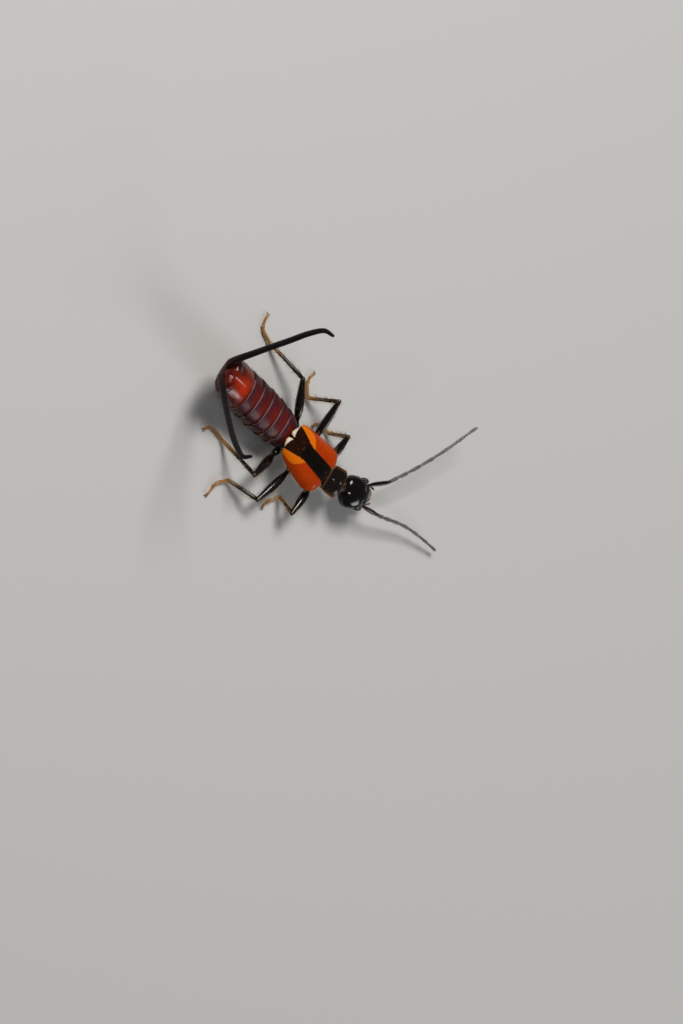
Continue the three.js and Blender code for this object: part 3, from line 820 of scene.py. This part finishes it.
# Feelers: a long first joint, a short second one, then slender club-shaped joints, all of dark brown
# horn under fine grey down.
FEELER_PATH = {
    "left": [
        (4.95, 1.6, 1.76), (5.14, 1.94, 1.78), (6.02, 2.93, 1.87), (6.2, 3.3, 1.9), (6.74, 4.51, 2.03),
        (7.5, 6.61, 2.24), (8.19, 9.22, 2.5),
    ],
    "right": [
        (5.5, 0.68, 1.76), (5.8, 0.75, 1.75), (6.9, 1.08, 1.56), (7.4, 1.25, 1.48), (9.48, 2.12, 1.1),
        (11.2, 2.55, 0.8), (12.94, 2.84, 0.5),
    ],
}
# Where the joints start and end, as shares of the length.
FEELER_JOINTS = [0.0, 0.18, 0.215, 0.29, 0.37, 0.475, 0.6, 0.735, 0.87, 1.0]
# Radii and tone of the two black joints at the root.
ROOT_JOINTS = [([0.09, 0.1, 0.125, 0.14, 0.145, 0.13], 0.0), ([0.075, 0.1, 0.1, 0.09], 0.05)]
CLUB_LEVELS = (0.62, 0.78, 0.9, 1, 1.04, 0.92)
FEELER_STEPS = 400
feeler_finish = horn_finish(
    "feeler_horn", light=(0.32, 0.26, 0.25), dark=(0.045, 0.032, 0.029), bloom=(0.3, 0.26, 0.25),
    bloom_amount=0.4, tone="tone", gloss=0.32, coat=0.3,
)
feeler_shells = {}
for name in ("left", "right"):
    spots = curve_points(FEELER_PATH[name], FEELER_STEPS + 1)
    shells = []
    for number, (a, b) in enumerate(zip(FEELER_JOINTS, FEELER_JOINTS[1:])):
        points = spots[int(a * FEELER_STEPS) : int(b * FEELER_STEPS) + 1]
        points = points[:: max(1, len(points) // 6)]
        at_root = number < len(ROOT_JOINTS)
        size = 0.115 - 0.05 * a
        radii, base = ROOT_JOINTS[number] if at_root else ([size * level for level in CLUB_LEVELS], 0.28)
        # The tone mark rises over the last seventh of each joint: painted highlights at the joints.
        shell = rod(points, radii, 16, 16, 1, {"tone": lambda k: base + 0.7 * max(0, k - 0.86) / 0.14})
        shell["slots"] = [int(at_root)] * len(shell["faces"])
        shells.append(shell)
    feeler_shells[name] = shells
    make_piece(f"feeler_{name}", shells, [feeler_finish, black_finish], [f"antenna_{name}"])

# Legs: six, each with a hip joint, a stout shiny black thigh, a thin shin that turns golden brown
# towards its end, a three-part golden foot that lies on the floor, and two claws.
# The root on the body, the hip, the knee, and the foot's spots on the floor from the ankle to the toe.
LEGS = {
    "fore_left": (
        (2.3, 0.5), (2.1, 0.95, 1.1), (1.66, 2.86, 1.74),
        [(1.42, 2.57), (0.82, 2.55), (0.4, 2.42), (0.31, 2.07)],
    ),
    "fore_right": (
        (2.3, -0.2), (2.2, -0.75, 1.1), (2.01, -2.92, 1.59),
        [(1.5, -2.36), (1.22, -2.95), (1.06, -3.35), (1.17, -3.7)],
    ),
    "middle_left": (
        (0.3, 0.4), (0.25, 1.15, 1.08), (-0.83, 3.71, 2.2),
        [(-1.37, 3.03), (-1.9, 3.55), (-2.1, 4.05), (-1.99, 4.54)],
    ),
    "middle_right": (
        (0.3, -0.4), (0.25, -1.15, 1.08), (-0.45, -3.93, 1.38),
        [(-2.24, -4.15), (-2.7, -4.85), (-2.68, -5.42), (-2.7, -5.9)],
    ),
    "hind_left": (
        (-1.1, 0.4), (-1.45, 1.1, 1.08), (-3.58, 3.08, 1.67),
        [(-6.1, 3.46), (-7.0, 3.72), (-7.32, 4.2), (-7.38, 4.73)],
    ),
    "hind_right": (
        (-1.1, -0.4), (-1.4, -1.1, 1.08), (-2.65, -3.48, 2.58),
        [(-4.22, -2.79), (-4.94, -2.73), (-5.66, -2.85), (-5.92, -3.33)],
    ),
}
FOOT_HEIGHTS = (0.26, 0.13, 0.12, 0.1)
THIGH_RADII = (0.14, 0.22, 0.275, 0.29, 0.27, 0.235, 0.19, 0.155)
SHIN_RADII = [0.12, 0.135, 0.13, 0.12, 0.115, 0.12, 0.125, 0.11]
# How golden the shin is at shares of its length.
SHIN_GOLD = ([0, 0.05, 0.45, 0.8, 1], [0.25, 0.02, 0.05, 0.55, 0.9])
HIND_THIGH_SCALE, OTHER_THIGH_SCALE = 1.0, 0.94
UP = np.array([0, 0, 1.0])
leg_finish = horn_finish(
    "leg_horn", light=(0.009, 0.006, 0.004), dark=(0.003, 0.002, 0.002), bloom=(0.03, 0.02, 0.014),
    bloom_amount=0.1, tone=0.35, gloss=0.15, coat=0.4, shine=0.3,
)
lay_over(leg_finish, "gold", (0.42, 0.19, 0.045), 0.15, 0.95)


def between(a, b, share):
    return a + (b - a) * share


leg_shells = {}
for name, (root, hip, knee, foot_spots) in LEGS.items():
    hip, knee = np.array(hip), np.array(knee)
    root = np.array([*root, hip[2] - 0.02])
    foot = curve_points([(*spot, z) for spot, z in zip(foot_spots, FOOT_HEIGHTS)], 61)
    ankle, toe = foot[0], foot[53]
    size = HIND_THIGH_SCALE if "hind" in name else OTHER_THIGH_SCALE
    thigh = [between(hip, knee, 0.07), between(hip, knee, 0.4) + UP * 0.05, knee]
    shin = [knee, between(knee, ankle, 0.12) + UP * 0.03, between(knee, ankle, 0.55) + UP * 0.02, ankle]
    shells = [
        rod([root, (root + hip) / 2 - UP * 0.03, hip], [0.26, 0.28, 0.2], 12, 18),
        rod([between(hip, knee, share) for share in (-0.02, 0.06, 0.12)], [0.13, 0.17, 0.12], 8, 16),
        rod(
            thigh, [radius * size for radius in THIGH_RADII], 36, 22, 0.92,
            {"gold": lambda k: 0.25 * max(0, k - 0.93) / 0.07},
        ),
        rod(shin, SHIN_RADII, 34, 18, 0.9, {"gold": lambda k: np.interp(k, *SHIN_GOLD)}),
        rod(foot[0:29:7], [0.085, 0.09, 0.1, 0.095], 12, 14, 0.9, {"gold": lambda k: 0.95}),
        rod(foot[28:36:3], [0.08, 0.115, 0.11], 8, 14, 0.7, {"gold": lambda k: 1.0}),
        rod(foot[35:54:6], [0.06, 0.068, 0.08, 0.085], 12, 14, 0.9, {"gold": lambda k: 1.0}),
    ]
    onward = foot[53] - foot[50]
    onward /= np.linalg.norm(onward)
    sideways = np.cross(onward, UP)
    for turn in (1, -1):
        claw = [
            toe,
            toe + onward * 0.1 + sideways * 0.06 * turn + UP * 0.01,
            toe + onward * 0.17 + sideways * 0.1 * turn - UP * 0.02,
            toe + onward * 0.21 + sideways * 0.1 * turn - UP * 0.06,
        ]
        shells.append(rod(claw, [0.035, 0.03, 0.022, 0.008], 10, 8, 1, {"gold": lambda k: 0.6 - 0.5 * k}))
    leg_shells[name] = shells
    make_piece(f"jointed_leg_{name}", shells, [leg_finish], [f"leg_{name}"])

# Bristles: fine golden hairs of horn that grow from the skin of the legs, head and abdomen and along
# the edges of the wing cases and neck shield, and short grey down on the feelers.
hair_random = random.Random(7)
FLOOR_CLEARANCE = 0.04
UNWRAP_HALF_WIDTH = 0.0015
# A hair's rings: the share of its length and of its width.
HAIR_LEVELS = ((0, 1.0), (0.4, 0.75), (0.75, 0.45))
# How many hairs grow on each shell of a leg, and how long they are.
LEG_HAIRS = ((8, 0.2), (6, 0.14), (90, 0.24), (130, 0.26), (50, 0.16), (22, 0.14), (36, 0.12))
ROOT_JOINT_HAIRS, CLUB_JOINT_HAIRS = 60, 150
ABDOMEN_HAIRS, HEAD_HAIRS = 520, 60
CASE_HAIRS, SHIELD_HAIRS = 46, 60
gold_bristle = horn_finish(
    "golden_bristle", light=(0.72, 0.48, 0.2), dark=(0.34, 0.18, 0.06), bloom=(0.9, 0.72, 0.45),
    bloom_amount=0.2, tone=0.6, gloss=0.28, coat=0.3,
)
grey_bristle = horn_finish(
    "grey_down", light=(0.34, 0.27, 0.24), dark=(0.14, 0.1, 0.085), bloom=(0.5, 0.42, 0.38),
    bloom_amount=0.1, tone=0.5, gloss=0.4, coat=0.1,
)


def grow_bristles(name, roots, finish):
    """Joins curved three-sided hairs into one piece. Each starts at a root, as unpacked below."""
    points, faces, corners = [], [], []
    for point, direction, bend_to, length, width, (u, v) in roots:
        direction = np.asarray(direction, float) / np.linalg.norm(direction)
        side = np.cross(direction, [0.3, 0.2, 0.93])
        side /= np.linalg.norm(side)
        other = np.cross(direction, side)
        start = len(points)
        for share, size in HAIR_LEVELS:
            spot = point + direction * length * share + bend_to * length * share * share
            for k in range(3):
                turn = 2 * math.pi * k / 3
                points.append(spot + (side * math.cos(turn) + other * math.sin(turn)) * width * size)
        points.append(point + direction * length + bend_to * length)
        for level in range(2):
            for k in range(3):
                a, b = start + level * 3 + k, start + level * 3 + (k + 1) % 3
                faces.append((a, b, b + 3, a + 3))
        for k in range(3):
            faces.append((start + 6 + k, start + 6 + (k + 1) % 3, start + 9))
        faces.append((start + 2, start + 1, start))
        for k in range(9):
            corners.append((u + UNWRAP_HALF_WIDTH * (k % 3 - 1), v + UNWRAP_HALF_WIDTH * (k // 3 - 1)))
        corners.append((u, v + UNWRAP_HALF_WIDTH))
    mesh = bpy.data.meshes.new(name)
    mesh.from_pydata(place(points).tolist(), [], faces)
    layer = mesh.uv_layers.new(name="OFBake")
    for loop in mesh.loops:
        layer.data[loop.index].uv = corners[loop.vertex_index]
    mesh.polygons.foreach_set("use_smooth", [True] * len(faces))
    mesh.materials.append(finish)
    mesh.update()
    piece = add_object(name, mesh)
    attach(piece, "root")


def roots_on(shell, count, length, width, lean, tile, low=0.06, high=0.94, keep=None):
    """Roots scattered over a shell, leaning towards its far end. tile is its patch of the unwrap."""
    rings = shell["rings"]
    rows, around = rings.shape[:2]
    found = []
    while len(found) < count:
        a, b = hair_random.uniform(low, high) * (rows - 1), hair_random.random() * around
        i, j = int(a), int(b)
        if keep and not keep(a / (rows - 1), b / around, hair_random.random()):
            continue
        k = (j + 1) % around
        fa, fb = a - i, b - j
        here = rings[i, j % around] * (1 - fb) + rings[i, k] * fb
        there = rings[i + 1, j % around] * (1 - fb) + rings[i + 1, k] * fb
        point = here * (1 - fa) + there * fa
        middle = rings[i].mean(0) * (1 - fa) + rings[i + 1].mean(0) * fa
        along = rings[min(i + 2, rows - 1)].mean(0) - rings[max(i - 1, 0)].mean(0)
        along /= np.linalg.norm(along) + 1e-9
        out = point - middle
        out /= np.linalg.norm(out) + 1e-9
        jitter = np.array([hair_random.gauss(0, 0.12) for _ in range(3)])
        reach = length * hair_random.uniform(0.6, 1.15)
        uv = (tile[0] + tile[2] * b / around, tile[1] + tile[3] * a / (rows - 1))
        found.append((point - out * width, out + along * lean + jitter, along * 0.35, reach, width, uv))
    return found


def above_floor(root):
    """Whether a hair keeps clear of the floor at both ends."""
    point, direction, bend_to, length = root[:4]
    tip = point + (direction / np.linalg.norm(direction) + bend_to) * length
    return min(point[2], tip[2]) > FLOOR_CLEARANCE


def on_abdomen_sides(share, around, chance):
    """Hairs are thick along the sides of the abdomen and few on its back and belly."""
    sideways = max(0, abs(math.cos(2 * math.pi * around)) - 0.75) * 4
    return share > 0.24 and chance < 0.1 + 0.9 * sideways


leg_roots = []
for row, shells in enumerate(leg_shells.values()):
    for column, (shell, (count, length)) in enumerate(zip(shells, LEG_HAIRS)):
        tile = (0.02 + column * 0.138, 0.02 + row * 0.16, 0.125, 0.14)
        leg_roots += roots_on(shell, count, length, 0.0085, 0.6, tile, 0.1, 0.95)
leg_roots = [root for root in leg_roots if above_floor(root)]
grow_bristles("leg_bristles", leg_roots, gold_bristle)
feeler_roots = []
for row, shells in enumerate(feeler_shells.values()):
    for column, shell in enumerate(shells):
        tile = (0.01 + column * 0.108, 0.05 + row * 0.48, 0.1, 0.42)
        count = CLUB_JOINT_HAIRS if column > 1 else ROOT_JOINT_HAIRS
        feeler_roots += roots_on(shell, count, 0.11, 0.0055, 1.1, tile)
grow_bristles("feeler_down", feeler_roots, grey_bristle)
abdomen_tile, head_tile = (0.02, 0.02, 0.96, 0.45), (0.02, 0.52, 0.96, 0.4)
body_roots = roots_on(
    body_shell, ABDOMEN_HAIRS, 0.17, 0.0095, 1.0, abdomen_tile, 0.2, 0.93, on_abdomen_sides
)
body_roots += roots_on(
    head_shell, HEAD_HAIRS, 0.18, 0.006, 0.3, head_tile, 0.25, 0.95,
    lambda share, around, chance: math.sin(2 * math.pi * around) < 0.35,
)
grow_bristles("body_bristles", body_roots, gold_bristle)
edge_roots = []
outer_rim = [(x, y) for x, y in case_rim if y > 0.5]
for row, side in enumerate((1, -1)):
    for number in range(CASE_HAIRS):
        x, y = outer_rim[int(hair_random.random() * len(outer_rim))]
        out = np.array([x * 0.35, y * side, 0.25])
        out /= np.linalg.norm(out)
        point = np.array([x, y * side, case_height(x, y) - 0.02])
        length = hair_random.uniform(0.14, 0.26)
        uv = (0.05 + 0.9 * number / CASE_HAIRS, 0.1 + 0.3 * row)
        edge_roots.append((point, out + np.array([-0.3, 0, 0]), np.array([-0.2, 0, 0.05]), length, 0.017, uv))
shield_core = np.array(SHIELD_MIDDLE) - [0, 0, 0.2]
for number in range(SHIELD_HAIRS):
    x, y = shield_outline[int(hair_random.random() * len(shield_outline))]
    point = np.array(turned(x, y, shield_height(x, y) - 0.03, SHIELD_YAW, SHIELD_MIDDLE))
    out = (point - shield_core) / np.linalg.norm(point - shield_core)
    length = hair_random.uniform(0.12, 0.24)
    uv = (0.05 + 0.9 * number / SHIELD_HAIRS, 0.75)
    edge_roots.append((point, out, np.array([-0.15, 0, 0.1]), length, 0.007, uv))
grow_bristles("edge_bristles", edge_roots, gold_bristle)

# Floor and light: a plain pale floor, a soft light above the tail, a weaker one low in front of the
# head, and an even pale surround.
LIT_SPOT = (-0.003, -0.001, 0.002)
floor_mesh = bpy.data.meshes.new("floor")
floor_mesh.from_pydata([(-1.5, -1.5, 0), (1.5, -1.5, 0), (1.5, 1.5, 0), (-1.5, 1.5, 0)], [], [(0, 1, 2, 3)])
floor = add_object("floor", floor_mesh)
floor_finish = bpy.data.materials.new("pale_floor")
floor_shader = new_links(floor_finish)[0]["Principled BSDF"]
floor_shader.inputs["Base Color"].default_value = (0.78, 0.77, 0.75, 1)
floor_shader.inputs["Roughness"].default_value = 0.75
floor_mesh.materials.append(floor_finish)


def soft_light(name, spot, size, power, tint):
    """A square lamp that shines on the animal from a spot given in metres."""
    data = bpy.data.lights.new(name, "AREA")
    data.shape = "RECTANGLE"
    data.size = size
    data.size_y = size
    data.energy = power
    data.color = tint
    light = add_object(name, data)
    light.location = spot
    light.rotation_euler = (Vector(LIT_SPOT) - Vector(spot)).to_track_quat("-Z", "Y").to_euler()


soft_light("key", (-0.16, 0.12, 0.24), 0.1, 0.62, (1.0, 0.98, 0.95))
soft_light("fill", (0.27, -0.04, 0.14), 0.11, 0.2, (0.96, 0.98, 1.0))
world = bpy.data.worlds.new("surround")
world.use_nodes = True
world.node_tree.nodes["Background"].inputs["Color"].default_value = (0.9, 0.92, 0.95, 1)
world.node_tree.nodes["Background"].inputs["Strength"].default_value = 0.1
bpy.context.scene.world = world
